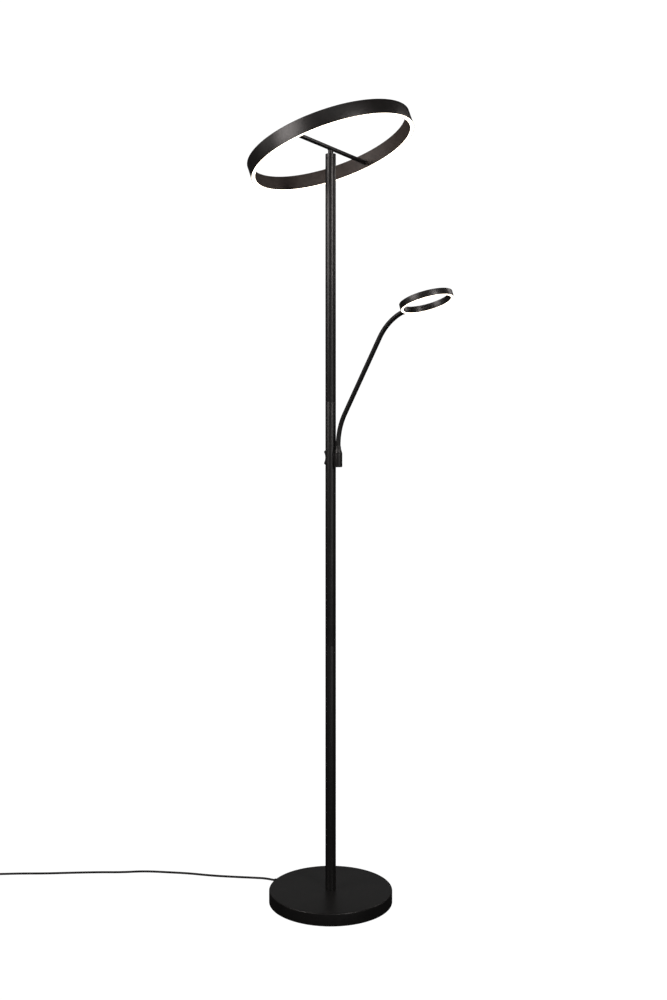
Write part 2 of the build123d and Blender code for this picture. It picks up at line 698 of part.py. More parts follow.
# The reading ring hangs on the end of the gooseneck, its centre in line with the neck.
READER_GAP = 2.0
reader_reach = READER_R + READER_GAP
reader_centre_2d, _ = along(neck_point, neck_lean, reader_reach)
reader_centre = arm_plane.from_local_coords((reader_centre_2d[0], reader_centre_2d[1], 0))
reader_plane = tilted_plane(reader_centre, 90 - neck_lean, ARM_AZIMUTH + 180)
end_dir = arm_plane.from_local_coords((*along((0, 0), neck_lean, 1)[0], 0)) - arm_plane.origin
end_at = arm_plane.from_local_coords((neck_point[0], neck_point[1], 0))
print("reader centre", [round(v, 2) for v in reader_centre], "tilt", round(90 - neck_lean, 2))

FERRULE_GRIP = 7.0
with BuildPart() as neck_ferrule:
    with BuildSketch(Plane(origin=end_at - end_dir * FERRULE_GRIP, z_dir=end_dir)):
        Circle(FERRULE_R)
    extrude(amount=FERRULE_LENGTH)
    with BuildSketch(Plane(origin=end_at - end_dir * FERRULE_LENGTH, z_dir=end_dir)):
        Circle(NECK_R + FIT)
    extrude(amount=FERRULE_LENGTH, mode=Mode.SUBTRACT)
    with BuildSketch(Plane(origin=end_at, z_dir=end_dir)):
        Circle(SCREW_SHANK_R + FIT)
    extrude(amount=FERRULE_LENGTH, mode=Mode.SUBTRACT)
    annulus(reader_plane, -READER_HEIGHT, READER_HEIGHT, READER_R + TOUCH, LIP, Mode.SUBTRACT)
save(neck_ferrule, "neck_ferrule")

with BuildPart() as reader_housing:
    channel(reader_plane, READER_R, READER_BORE_R, READER_HEIGHT)
    with BuildSketch(Plane(origin=end_at, z_dir=end_dir)):
        Circle(SCREW_SHANK_R + FIT)
    extrude(amount=READER_GAP + LIP + DRILL, mode=Mode.SUBTRACT)
save(reader_housing, "reader_housing")

READER_SCREW_START = 0.3
READER_SCREW_HEAD_R = 3.5
READER_SCREW_HEAD = 1.8
head_at = end_at + end_dir * (READER_GAP + LIP + 4 * FIT)
with BuildPart() as reader_screw:
    with BuildSketch(Plane(origin=end_at + end_dir * READER_SCREW_START, z_dir=end_dir)):
        Circle(SCREW_SHANK_R)
    extrude(amount=READER_GAP + LIP)
    with BuildSketch(Plane(origin=head_at, z_dir=end_dir)):
        Circle(READER_SCREW_HEAD_R)
    extrude(amount=READER_SCREW_HEAD)
save(reader_screw, "reader_screw")

with BuildPart() as reader_led_board:
    led_board(reader_plane, READER_R, READER_BORE_R, READER_HEIGHT)
save(reader_led_board, "reader_led_board")

with BuildPart() as reader_diffuser:
    diffuser(reader_plane, READER_R, READER_BORE_R, READER_HEIGHT)
save(reader_diffuser, "reader_diffuser")

# ---- mains cord ---------------------------------------------------------------------


def corner_radii(points):
    """Largest tangent arc for each corner of a cord's route."""
    spots = [Vector(*p) for p in points]
    radii = []
    for before, corner, after in zip(spots, spots[1:], spots[2:]):
        turn = (corner - before).get_angle(after - corner)
        shorter = min((corner - before).length, (after - corner).length)
        radii.append(0.45 * shorter / tan(radians(turn) / 2))
    return radii


def cord_tube(points, name):
    """Cord along straight runs joined by tangent arcs."""
    radii = corner_radii(points)
    with BuildPart() as tube:
        with BuildLine() as route:
            FilletPolyline(*points, radius=radii)
        with BuildSketch(Plane(origin=route.line @ 0, z_dir=route.line % 0)):
            Circle(CORD_R)
        sweep()
    save(tube, name)
    length = sum(edge.length for edge in route.edges())
    expected = length * pi * CORD_R**2
    print(name, "length", round(length, 1), "radii", [round(r) for r in radii])
    print(name, "volume ratio", round(tube.part.volume / expected, 4))


gland_dir = (cos(radians(GLAND_AZIMUTH)), sin(radians(GLAND_AZIMUTH)))
CORD_START_R = 128.0
CORD_DROP_R = 178.0
COIL_ENTRY_X = -850.0
coil_entry_y = COIL_CENTRE[1] - COIL_R - COIL_WIDTH / 2 + CORD_R
cord_route = [
    (CORD_START_R * gland_dir[0], CORD_START_R * gland_dir[1], GLAND_Z),
    (CORD_DROP_R * gland_dir[0], CORD_DROP_R * gland_dir[1], GLAND_Z),
    (-188.5, 129.6, 3.4),
    (-239.1, 137.7, CORD_R),
    (-289.0, 145.4, CORD_R),
    (-337.2, 157.9, CORD_R),
    (-386.2, 164.8, CORD_R),
    (-449.0, 172.6, CORD_R),
    (-503.0, 165.2, CORD_R),
    (-555.5, 166.0, CORD_R),
    (-620.0, 162.6, CORD_R),
    (-685.0, 157.6, CORD_R),
    (-745.0, 157.6, CORD_R),
    (-800.0, coil_entry_y, CORD_R),
    (COIL_ENTRY_X, coil_entry_y, CORD_R),
]
cord_tube(cord_route, "mains_cord")

with BuildPart() as cord_coil:
    with BuildSketch(Plane.XZ.offset(-COIL_CENTRE[1])):
        with Locations((COIL_CENTRE[0] + COIL_R, COIL_HEIGHT / 2)):
            RectangleRounded(COIL_WIDTH, COIL_HEIGHT, COIL_EDGE_R)
    revolve(axis=Axis((*COIL_CENTRE, 0), (0, 0, 1)))
save(cord_coil, "cord_coil")

PLUG_Z = 6.9
PLUG_Y = 156.0
PLUG_TAIL_X = -912.0
tail_route = [
    (-875.5, 153.6, 3 * CORD_R),
    (-887.5, 154.4, 7.4),
    (-899.5, 155.6, 7.0),
    (PLUG_TAIL_X, PLUG_Y, PLUG_Z),
]
cord_tube(tail_route, "cord_tail")

PLUG_SLEEVE = 20.0
PLUG_SLEEVE_ROOT_R = 3.2
PLUG_SLEEVE_END_R = 4.6
PLUG_LENGTH = 35.0
PLUG_NECK = (15.6, 11.0, 4.0)  # width, thickness and corner radius
PLUG_FACE = (32.0, 13.7, 5.0)
PLUG_PIN_R = 2.0
PLUG_PIN_PITCH = 18.6
PLUG_PIN_LENGTH = 19.0
PLUG_PIN_EDGE_R = 1.2
plug_plane = Plane(origin=(PLUG_TAIL_X, PLUG_Y, PLUG_Z), x_dir=(0, 1, 0), z_dir=(-1, 0, 0))
plug_face = plug_plane.offset(PLUG_SLEEVE + PLUG_LENGTH)
with BuildPart() as plug_body:
    with BuildSketch(plug_plane):
        Circle(PLUG_SLEEVE_ROOT_R)
    with BuildSketch(plug_plane.offset(PLUG_SLEEVE)):
        Circle(PLUG_SLEEVE_END_R)
    loft()
    with BuildSketch(plug_plane.offset(PLUG_SLEEVE)):
        RectangleRounded(*PLUG_NECK)
    with BuildSketch(plug_face):
        RectangleRounded(*PLUG_FACE)
    loft()
save(plug_body, "plug_body")

with BuildPart() as plug_pins:
    with BuildSketch(plug_face):
        with GridLocations(PLUG_PIN_PITCH, 1, 2, 1):
            Circle(PLUG_PIN_R)
    extrude(amount=PLUG_PIN_LENGTH)
    fillet(plug_pins.edges().group_by(Axis.X)[0], PLUG_PIN_EDGE_R)
save(plug_pins, "plug_pins")
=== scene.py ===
import json
from math import ceil, cos, pi, radians, sin, tan

import bmesh
import bpy
from mathutils import Matrix, Vector


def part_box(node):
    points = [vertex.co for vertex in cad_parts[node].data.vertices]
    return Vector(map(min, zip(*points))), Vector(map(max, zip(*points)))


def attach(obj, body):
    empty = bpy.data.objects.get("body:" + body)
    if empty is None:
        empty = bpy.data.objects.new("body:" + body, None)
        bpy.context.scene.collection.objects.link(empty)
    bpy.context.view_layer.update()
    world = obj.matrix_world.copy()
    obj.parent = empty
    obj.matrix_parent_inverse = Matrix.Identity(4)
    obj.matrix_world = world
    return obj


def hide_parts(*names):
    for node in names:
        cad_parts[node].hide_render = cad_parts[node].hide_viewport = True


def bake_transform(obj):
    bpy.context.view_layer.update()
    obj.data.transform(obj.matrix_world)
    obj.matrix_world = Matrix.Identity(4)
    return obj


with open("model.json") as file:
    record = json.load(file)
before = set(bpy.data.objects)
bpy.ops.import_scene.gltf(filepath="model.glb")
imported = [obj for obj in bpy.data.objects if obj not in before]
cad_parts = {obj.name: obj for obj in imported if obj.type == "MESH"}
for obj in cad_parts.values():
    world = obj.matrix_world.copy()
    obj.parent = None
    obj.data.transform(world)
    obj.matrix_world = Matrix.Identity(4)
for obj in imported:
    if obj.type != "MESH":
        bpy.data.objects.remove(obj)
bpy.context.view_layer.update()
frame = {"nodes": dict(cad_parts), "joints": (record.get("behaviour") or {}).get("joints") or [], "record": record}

# Looks of the torchiere floor lamp, in metres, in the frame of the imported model: +Z up,
# origin on the floor under the pole, +X to the right, +Y to the back.

MM = 0.001
JOINTS = {joint["name"]: joint for joint in frame["joints"]}
UP = Vector((0, 0, 1))


def pivot(joint_name):
    return Vector(JOINTS[joint_name]["pos_m"])


def middle(node):
    """Centre of a node's box."""
    low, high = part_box(node)
    return (low + high) / 2


# ---- camera and cord ----------------------------------------------------------------

CAMERA_AT = (0, -2.8313, 1.143)
CAMERA_LENS = 44.80  # millimetres
CAMERA_SENSOR = 36
CAMERA_SHIFT = (0.00285, -0.10138)

camera_data = bpy.data.cameras.new("camera")
camera_data.lens = CAMERA_LENS
camera_data.sensor_width = CAMERA_SENSOR
camera_data.shift_x, camera_data.shift_y = CAMERA_SHIFT
camera = bpy.data.objects.new("camera", camera_data)
camera.location = CAMERA_AT
camera.rotation_euler = (radians(90), 0, 0)
bpy.context.scene.collection.objects.link(camera)
bpy.context.scene.camera = camera

CORD_R = 2.5 * MM
BASE_R = 140 * MM
GLAND_AZIMUTH = radians(142.3)
GLAND_Z = 9 * MM
gland_out = Vector((cos(GLAND_AZIMUTH), sin(GLAND_AZIMUTH), 0))

COIL_CENTRE = Vector((-0.862, 0.1885))
COIL_OUTER_R = 35 * MM
COIL_INNER_R = 22.5 * MM
COIL_PITCH = 5 * MM
COIL_STEPS = 16  # control points in each turn
COIL_OUT_STEPS = 37  # control points of the upper layer, up to the plug


def coil_points():
    """Turns of the coil: a spiral in, a step up onto the first layer, and a spiral out.

    Seen from above the cord turns clockwise, from the south point to the south point."""
    step = 2 * pi / COIL_STEPS
    grow = COIL_PITCH / COIL_STEPS
    reach = 1 / cos(step / 2)
    steps_in = round((COIL_OUTER_R - COIL_INNER_R) / grow)
    radii = [COIL_OUTER_R - grow * i for i in range(steps_in)]
    heights = [CORD_R] * steps_in
    radii += [COIL_INNER_R] * 3
    heights += [CORD_R + 2 * CORD_R * share for share in (0.15, 0.5, 0.85)]
    radii += [COIL_INNER_R + grow * i for i in range(COIL_OUT_STEPS)]
    heights += [3 * CORD_R] * COIL_OUT_STEPS
    points = []
    for i, (radius, height) in enumerate(zip(radii, heights)):
        angle = -pi / 2 - (i + 0.5) * step
        x = COIL_CENTRE.x + radius * reach * cos(angle)
        y = COIL_CENTRE.y + radius * reach * sin(angle)
        points.append((x, y, height))
    return points


# Down from the gland to the floor, along it in slight waves, into the coil and up to the plug.
cord_route = [
    (*(0.128 * gland_out).xy, GLAND_Z),
    (*(0.178 * gland_out).xy, GLAND_Z),
    (-0.1885, 0.1296, 0.0034),
    (-0.2391, 0.1377, CORD_R),
    (-0.2890, 0.1454, CORD_R),
    (-0.3372, 0.1579, CORD_R),
    (-0.3862, 0.1648, CORD_R),
    (-0.4490, 0.1726, CORD_R),
    (-0.5030, 0.1652, CORD_R),
    (-0.5555, 0.1660, CORD_R),
    (-0.6200, 0.1626, CORD_R),
    (-0.6850, 0.1576, CORD_R),
    (-0.7450, 0.1576, CORD_R),
    (-0.8000, COIL_CENTRE.y - COIL_OUTER_R, CORD_R),
    (-0.8500, COIL_CENTRE.y - COIL_OUTER_R, CORD_R),
]
cord_route += coil_points()
PLUG_AT = Vector((-0.912, 0.156, 0.0069))
cord_route += [
    (-0.8790, 0.1538, 3 * CORD_R),
    (-0.8960, 0.1552, 0.0072),
    tuple(PLUG_AT),
]


def spline_tube(name, points, radius):
    """Round cord along one smooth spline."""
    curve = bpy.data.curves.new(name, "CURVE")
    curve.dimensions = "3D"
    spline = curve.splines.new("NURBS")
    spline.points.add(len(points) - 1)
    for point, spot in zip(spline.points, points):
        point.co = (*spot, 1)
    spline.order_u = 3
    spline.use_endpoint_u = True
    spline.resolution_u = 8
    curve.bevel_depth = radius
    curve.bevel_resolution = 5
    curve.use_fill_caps = True
    tube = bpy.data.objects.new(name, curve)
    bpy.context.scene.collection.objects.link(tube)
    return tube


mains_lead = spline_tube("mains_lead", cord_route, CORD_R)

# ---- materials ----------------------------------------------------------------------


class Graph:
    """Short way to wire a material's nodes."""

    def __init__(self, name):
        self.material = bpy.data.materials.new(name)
        self.material.use_nodes = True
        self.tree = self.material.node_tree
        self.shader = self.tree.nodes["Principled BSDF"]
        self.place = self.node("ShaderNodeTexCoord").outputs["Object"]

    def node(self, kind, **values):
        made = self.tree.nodes.new(kind)
        for name, value in values.items():
            setattr(made, name, value)
        return made

    def wire(self, source, target):
        self.tree.links.new(source, target)

    def noise(self, size, detail=2.0, stretch=(1, 1, 1)):
        """Noise whose spots are about size metres wide."""
        mapping = self.node("ShaderNodeMapping")
        mapping.inputs["Scale"].default_value = stretch
        self.wire(self.place, mapping.inputs["Vector"])
        texture = self.node("ShaderNodeTexNoise")
        texture.inputs["Scale"].default_value = 1 / size
        texture.inputs["Detail"].default_value = detail
        self.wire(mapping.outputs["Vector"], texture.inputs["Vector"])
        return texture.outputs["Fac"]

    def ranged(self, source, low, high):
        """The source's middle range spread from low to high."""
        spread = self.node("ShaderNodeMapRange")
        for name, value in (("From Min", 0.3), ("From Max", 0.7), ("To Min", low), ("To Max", high)):
            spread.inputs[name].default_value = value
        self.wire(source, spread.inputs["Value"])
        return spread.outputs["Result"]

    def blended(self, share, first, second):
        """Colour that runs from first to second as share goes from 0 to 1."""
        mix = self.node("ShaderNodeMix", data_type="RGBA")
        colours = [socket for socket in mix.inputs if socket.type == "RGBA"]
        colours[0].default_value = (*first, 1)
        colours[1].default_value = (*second, 1)
        self.wire(share, mix.inputs[0])
        return next(socket for socket in mix.outputs if socket.type == "RGBA")

    def bump(self, heights):
        """Stacked bumps: (source, height in metres, strength) each."""
        normal = None
        for source, height, strength in heights:
            bump = self.node("ShaderNodeBump")
            bump.inputs["Distance"].default_value = height
            bump.inputs["Strength"].default_value = strength
            self.wire(source, bump.inputs["Height"])
            if normal is not None:
                self.wire(normal, bump.inputs["Normal"])
            normal = bump.outputs["Normal"]
        self.wire(normal, self.shader.inputs["Normal"])


def coated(name, dark, light, rough, grain, bumps, metallic=0.0, specular=0.5, stretch=(1, 1, 1)):
    """Surface whose colour and roughness drift over grain metres, with bumps (size, height, strength)."""
    graph = Graph(name)
    drift = graph.noise(grain, 4.0, stretch)
    graph.wire(graph.blended(graph.ranged(drift, 0, 1), dark, light), graph.shader.inputs["Base Color"])
    speckle = graph.noise(grain / 9, 3.0, stretch)
    graph.wire(graph.ranged(speckle, *rough), graph.shader.inputs["Roughness"])
    graph.shader.inputs["Metallic"].default_value = metallic
    graph.shader.inputs["Specular IOR Level"].default_value = specular
    graph.bump([(graph.noise(size, 2.0, stretch), height, strength) for size, height, strength in bumps])
    return graph


def opal(name):
    """Lit opal lens: an even warm white glow, a little warmer in faint clouds.

    It stays out of the renderer's light sampling, so that it adds no noise to the ring round it."""
    graph = Graph(name)
    clouds = graph.ranged(graph.noise(0.03, 3.0), 0, 1)
    milk = graph.blended(clouds, (0.92, 0.91, 0.88), (0.96, 0.95, 0.93))
    graph.wire(milk, graph.shader.inputs["Base Color"])
    glow = graph.blended(clouds, GLOW_WARM, GLOW_PALE)
    graph.wire(glow, graph.shader.inputs["Emission Color"])
    graph.shader.inputs["Emission Strength"].default_value = GLOW_STRENGTH
    graph.material.cycles.emission_sampling = "NONE"
    graph.shader.inputs["Roughness"].default_value = 0.35
    graph.bump([(graph.noise(0.0006), 0.00002, 0.3)])
    return graph


GLOW_WARM = (1.0, 0.86, 0.70)
GLOW_PALE = (1.0, 0.90, 0.77)
GLOW_STRENGTH = 4.0
PEEL = (0.0011, 0.00003, 0.35)  # orange peel of powder coat: size, height, strength
GRIT = (0.00025, 0.000008, 0.3)

MATERIALS = {
    "satin_black": coated("satin_black", (0.010, 0.010, 0.010), (0.014, 0.0135, 0.013), (0.34, 0.42),
                          0.02, [PEEL, GRIT]),
    "ring_black": coated("ring_black", (0.011, 0.0105, 0.010), (0.015, 0.014, 0.0135), (0.32, 0.40),
                         0.02, [PEEL, GRIT]),
    # Inner walls of the head ring: the black ring coat painted a lighter warm brown, a painted glow of the lens's
    # warm light on them.
    "ring_painted_glow": coated("ring_painted_glow", (0.050, 0.039, 0.033), (0.070, 0.055, 0.047), (0.55, 0.66),
                          0.02, [PEEL, GRIT]),
    "opal": opal("opal"),
    "led_board": coated("led_board", (0.78, 0.79, 0.76), (0.86, 0.86, 0.84), (0.4, 0.5),
                        0.006, [(0.002, 0.00005, 0.2)]),
    "concrete": coated("concrete", (0.24, 0.235, 0.225), (0.40, 0.39, 0.37), (0.75, 0.92),
                       0.012, [(0.004, 0.0003, 0.5), (0.0012, 0.0001, 0.5)]),
    "steel": coated("steel", (0.50, 0.50, 0.51), (0.60, 0.60, 0.60), (0.26, 0.38),
                    0.008, [(0.0008, 0.00001, 0.4)], metallic=1.0),
    "brass": coated("brass", (0.68, 0.50, 0.24), (0.78, 0.60, 0.32), (0.22, 0.34),
                    0.006, [(0.0005, 0.00001, 0.4)], metallic=1.0),
    "black_plastic": coated("black_plastic", (0.011, 0.011, 0.011), (0.016, 0.016, 0.016), (0.42, 0.52),
                            0.004, [(0.0004, 0.00002, 0.5), GRIT]),
    "white_plastic": coated("white_plastic", (0.72, 0.72, 0.69), (0.80, 0.80, 0.77), (0.42, 0.52),
                            0.004, [(0.0005, 0.00002, 0.4)]),
    "gooseneck_black": coated("gooseneck_black", (0.009, 0.009, 0.009), (0.013, 0.013, 0.0125), (0.36, 0.44),
                              0.012, [(0.0009, 0.00002, 0.3), GRIT]),
    "rubber": coated("rubber", (0.014, 0.014, 0.014), (0.022, 0.021, 0.021), (0.62, 0.74),
                     0.004, [(0.0005, 0.00004, 0.5)]),
    "cord_black": coated("cord_black", (0.011, 0.011, 0.011), (0.016, 0.016, 0.016), (0.44, 0.54),
                         0.006, [(0.0007, 0.00002, 0.35)]),
    "nickel": coated("nickel", (0.66, 0.64, 0.58), (0.74, 0.72, 0.67), (0.16, 0.26),
                     0.004, [(0.0003, 0.000006, 0.4)], metallic=1.0),
}

for part in frame["record"]["subparts"]:
    finish = MATERIALS[part["material_slot"]].material
    for held in frame["nodes"][part["node"]].material_slots:
        held.material = finish

# ---- mesh tools ---------------------------------------------------------------------

SMOOTH_BELOW = radians(40)
EASED = 0.3 * MM  # radius of an edge that is only broken
# Sides of a turned piece: rings and base, tubes, sleeves, small parts, pins.
RING_SIDES = 288
TUBE_SIDES = 128
SLEEVE_SIDES = 96
SMALL_SIDES = 64
PIN_SIDES = 40


def rounded(corners, steps=5):
    """Outline from corners (x, y, radius), each turned into an arc of that radius."""
    outline = []
    count = len(corners)
    for i, (x, y, radius) in enumerate(corners):
        here = Vector((x, y))
        if not radius:
            outline.append(here)
            continue
        back = (Vector(corners[i - 1][:2]) - here).normalized()
        on = (Vector(corners[(i + 1) % count][:2]) - here).normalized()
        half = back.angle(on) / 2
        centre = here + (back + on).normalized() * radius / sin(half)
        first = here + back * radius / tan(half) - centre
        last = here + on * radius / tan(half) - centre
        turn = first.angle_signed(last)
        for k in range(steps + 1):
            spoke = first.copy()
            spoke.rotate(Matrix.Rotation(-turn * k / steps, 2))
            outline.append(centre + spoke)
    return outline


def piece_from(bm, name):
    """Object with the mesh built so far, smooth but for its sharp edges."""
    bmesh.ops.remove_doubles(bm, verts=bm.verts, dist=1e-7)
    bmesh.ops.recalc_face_normals(bm, faces=bm.faces)
    for face in bm.faces:
        face.smooth = True
    mesh = bpy.data.meshes.new(name)
    bm.to_mesh(mesh)
    bm.free()
    mesh.set_sharp_from_angle(angle=SMOOTH_BELOW)
    made = bpy.data.objects.new(name, mesh)
    bpy.context.scene.collection.objects.link(made)
    return made


def skin(bm, loops, closed):
    """Quads between neighbouring loops of vertices, and between the last and first if closed."""
    pairs = list(zip(loops, loops[1:]))
    if closed:
        pairs.append((loops[-1], loops[0]))
    for this, other in pairs:
        for i in range(len(this)):
            bm.faces.new((this[i - 1], this[i], other[i], other[i - 1]))


def facing(origin, direction):
    """Matrix that stands a piece built along +Z on origin, along direction."""
    return Matrix.Translation(origin) @ Vector(direction).to_track_quat("Z", "Y").to_matrix().to_4x4()


def lathe(name, outline, sides=SLEEVE_SIDES, at=(Matrix.Identity(4),)):
    """Turned piece from a closed outline of (radius, height), once for each place."""
    bm = bmesh.new()
    for matrix in at:
        loops = []
        for radius, height in outline:
            angles = [2 * pi * i / sides for i in range(sides)]
            spots = [matrix @ Vector((radius * cos(a), radius * sin(a), height)) for a in angles]
            loops.append([bm.verts.new(spot) for spot in spots])
        on_axis = [radius < 1e-9 for radius, _ in outline]
        for i in range(len(loops)):
            if not (on_axis[i - 1] and on_axis[i]):
                skin(bm, [loops[i - 1], loops[i]], closed=False)
    return piece_from(bm, name)


def loft(name, sections, matrix):
    """Solid through closed sections of equal point counts: (height, outline) each, with flat ends."""
    bm = bmesh.new()
    loops = [
        [bm.verts.new(matrix @ Vector((x, y, height))) for x, y in outline]
        for height, outline in sections
    ]
    skin(bm, loops, closed=False)
    bm.faces.new(loops[0])
    bm.faces.new(loops[-1])
    return piece_from(bm, name)


def frozen(piece):
    """Applies the piece's modifiers to its mesh."""
    seen = piece.evaluated_get(bpy.context.evaluated_depsgraph_get())
    mesh = bpy.data.meshes.new_from_object(seen)
    piece.modifiers.clear()
    piece.data = mesh
    mesh.set_sharp_from_angle(angle=SMOOTH_BELOW)


def combined(piece, other, operation):
    """Joins other to the piece or cuts it away, and removes it."""
    step = piece.modifiers.new("combine", "BOOLEAN")
    step.operation = operation
    step.solver = "EXACT"
    step.object = other
    bpy.context.view_layer.update()
    frozen(piece)
    bpy.data.objects.remove(other)


def softened(piece, width, steps=3):
    """Rounds the piece's sharp edges."""
    step = piece.modifiers.new("bevel", "BEVEL")
    step.width = width
    step.segments = steps
    step.limit_method = "ANGLE"
    step.angle_limit = SMOOTH_BELOW
    bpy.context.view_layer.update()
    frozen(piece)


def dress(piece, slot, *nodes):
    """The piece takes a finish and stands for CAD nodes."""
    piece.data.materials.clear()
    piece.data.materials.append(MATERIALS[slot].material)
    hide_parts(*nodes)


def fit(piece, body, slot, *nodes):
    """The piece rides on a body, takes a finish and stands for CAD nodes."""
    dress(piece, slot, *nodes)
    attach(piece, body)


# ---- base ---------------------------------------------------------------------------

BASE_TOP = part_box("base_cover")[1].z
SKIRT_Z = 1 * MM
WALL = 1.6 * MM
TOP_WALL = 2 * MM
NIPPLE_HOLE_R = 5.05 * MM
EDGE_R = 2.2 * MM
RIM_R = 0.6 * MM
cover_outline = rounded([
    (NIPPLE_HOLE_R, BASE_TOP, 0),
    (BASE_R, BASE_TOP, EDGE_R),
    (BASE_R, SKIRT_Z, RIM_R),
    (BASE_R - WALL, SKIRT_Z, RIM_R),
    (BASE_R - WALL, BASE_TOP - TOP_WALL, 0),
    (NIPPLE_HOLE_R, BASE_TOP - TOP_WALL, 0),
], steps=7)
fit(lathe("round_base", cover_outline, RING_SIDES), "stand", "satin_black", "base_cover")

GLAND_LENGTH = 26 * MM
GLAND_ROOT_R = 5.6 * MM
GLAND_END_R = 3.4 * MM
GLAND_RIBS = 5
FLANGE_R = 5.5 * MM
GLAND_NECK_R = 4.15 * MM
GLAND_COLLAR = 4 * MM
FLANGE = 2 * MM


def gland_outline():
    """Flange inside the wall, a neck through it and a ribbed taper outside it."""
    inside = -WALL - 0.2 * MM
    outside = 0.2 * MM
    outline = [
        (CORD_R, inside - FLANGE),
        (FLANGE_R, inside - FLANGE),
        (FLANGE_R, inside),
        (GLAND_NECK_R, inside),
        (GLAND_NECK_R, outside),
        (GLAND_ROOT_R - 0.6 * MM, outside),
        (GLAND_ROOT_R, 0.5 * MM),
        (GLAND_ROOT_R, GLAND_COLLAR),
    ]
    rib = (GLAND_LENGTH - GLAND_COLLAR - 2 * MM) / GLAND_RIBS
    for i in range(GLAND_RIBS):
        at = GLAND_COLLAR + i * rib
        radius = GLAND_ROOT_R + (GLAND_END_R - GLAND_ROOT_R) * at / GLAND_LENGTH
        groove = radius - 0.9 * MM
        outline += [
            (groove, at + 0.3 * MM),
            (groove, at + 0.38 * rib),
            (radius - 0.25 * MM, at + 0.5 * rib),
            (radius - 0.35 * MM, at + 0.95 * rib),
        ]
    outline += [
        (GLAND_END_R, GLAND_LENGTH - 1.2 * MM),
        (GLAND_END_R - 0.3 * MM, GLAND_LENGTH),
        (CORD_R, GLAND_LENGTH),
    ]
    return outline


gland_root = gland_out * BASE_R + UP * GLAND_Z
strain_relief = lathe("strain_relief", gland_outline(), SMALL_SIDES, [facing(gland_root, gland_out)])
fit(strain_relief, "stand", "rubber", "cord_gland")

# ---- pole ---------------------------------------------------------------------------

POLE_R = 12 * MM
POLE_WALL = 1.2 * MM
SEAM_R = 0.25 * MM
SWITCH_Z = pivot("rocker_tilt").z
SLOT_HALF_HEIGHT = 18.1 * MM
SLOT_HALF_WIDTH = 5.1 * MM
SLOT_CORNER_R = 1 * MM


def rectangle(half_width, half_height, radius, steps=5):
    x, y = half_width, half_height
    return rounded([(-x, -y, radius), (x, -y, radius), (x, y, radius), (-x, y, radius)], steps)


for section in ("pole_lower", "pole_middle", "pole_upper"):
    low, high = (corner.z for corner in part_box(section))
    tube = lathe(section.replace("pole", "tube"), rounded([
        (POLE_R, low, SEAM_R),
        (POLE_R, high, SEAM_R),
        (POLE_R - POLE_WALL, high, 0),
        (POLE_R - POLE_WALL, low, 0),
    ]), TUBE_SIDES)
    if section == "pole_middle":
        slot_outline = rectangle(SLOT_HALF_WIDTH, SLOT_HALF_HEIGHT, SLOT_CORNER_R)
        slot = loft("slot", [(0, slot_outline), (2 * POLE_R, slot_outline)],
                    facing((0, 0, SWITCH_Z), (-1, 0, 0)))
        combined(tube, slot, "DIFFERENCE")
    fit(tube, "stand", "satin_black", section)

CAP_EDGE_R = 0.7 * MM
STEM_R = 6 * MM
STEM_BORE_R = 3.6 * MM
cap_low, cap_high = (corner.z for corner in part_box("pole_cap"))
pole_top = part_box("pole_upper")[1].z
CAP_SPIGOT_R = 10.75 * MM
CAP_BORE_R = 6.05 * MM
fit(lathe("end_cap", rounded([
    (CAP_BORE_R, cap_high, EASED),
    (POLE_R, cap_high, CAP_EDGE_R),
    (POLE_R, pole_top, SEAM_R),
    (CAP_SPIGOT_R, pole_top, 0),
    (CAP_SPIGOT_R, cap_low, 0),
    (CAP_BORE_R, cap_low, 0),
]), TUBE_SIDES), "stand", "satin_black", "pole_cap")

# ---- switch -------------------------------------------------------------------------

rocker_low, rocker_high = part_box("rocker_cap")
ROCKER_HALF_WIDTH = (rocker_high.y - rocker_low.y) / 2
ROCKER_HALF_HEIGHT = (rocker_high.z - rocker_low.z) / 2
ROCKER_TIP = 15.5 * MM
ROCKER_VALLEY = 12.2 * MM
ROCKER_RIDGE = 13.3 * MM  # height of each ridge above and below the middle
ROCKER_BACK = 8 * MM
ROCKER_EDGE = 11.6 * MM
ROCKER_VALLEY_SHARE = 0.93  # how far towards the ridges the valley's curve runs
ROCKER_STEPS = 14


def rocker_outline():
    """Side view of the rocker as (height, reach): two ridges with a shallow valley between."""
    face = []
    for i in range(ROCKER_STEPS + 1):
        height = ROCKER_RIDGE * (2 * i / ROCKER_STEPS - 1) * ROCKER_VALLEY_SHARE
        rise = (ROCKER_TIP - ROCKER_VALLEY) * (height / ROCKER_RIDGE) ** 2
        face.append((height, ROCKER_VALLEY + rise, 0))
    ends = [
        (ROCKER_RIDGE, ROCKER_TIP - 0.2 * MM, 0.5 * MM),
        (ROCKER_HALF_HEIGHT, ROCKER_EDGE, 0.4 * MM),
        (ROCKER_HALF_HEIGHT, ROCKER_BACK, 0),
        (-ROCKER_HALF_HEIGHT, ROCKER_BACK, 0),
        (-ROCKER_HALF_HEIGHT, ROCKER_EDGE, 0.4 * MM),
        (-ROCKER_RIDGE, ROCKER_TIP - 0.2 * MM, 0.5 * MM),
    ]
    return rounded(face + ends)


# The outline's height runs up, its reach runs out to the left, and the loft runs to the back.
rocker_frame = Matrix((
    (0, -1, 0, 0),
    (0, 0, 1, -ROCKER_HALF_WIDTH),
    (1, 0, 0, SWITCH_Z),
    (0, 0, 0, 1),
))
side = rocker_outline()
rocker = loft("rocker", [(0, side), (2 * ROCKER_HALF_WIDTH, side)], rocker_frame)
ROCKER_BEVEL = 0.5 * MM
softened(rocker, ROCKER_BEVEL)
fit(rocker, "rocker", "black_plastic", "rocker_cap")

# ---- head ---------------------------------------------------------------------------

BAR_R = 5 * MM
BAR_BORE_R = 3.75 * MM
bar_along = Vector(JOINTS["ring_tilt"]["axis"]).normalized()
bar_centre = pivot("ring_tilt")
BAR_HALF = 181.8 * MM
stem_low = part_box("neck_stem")[0].z

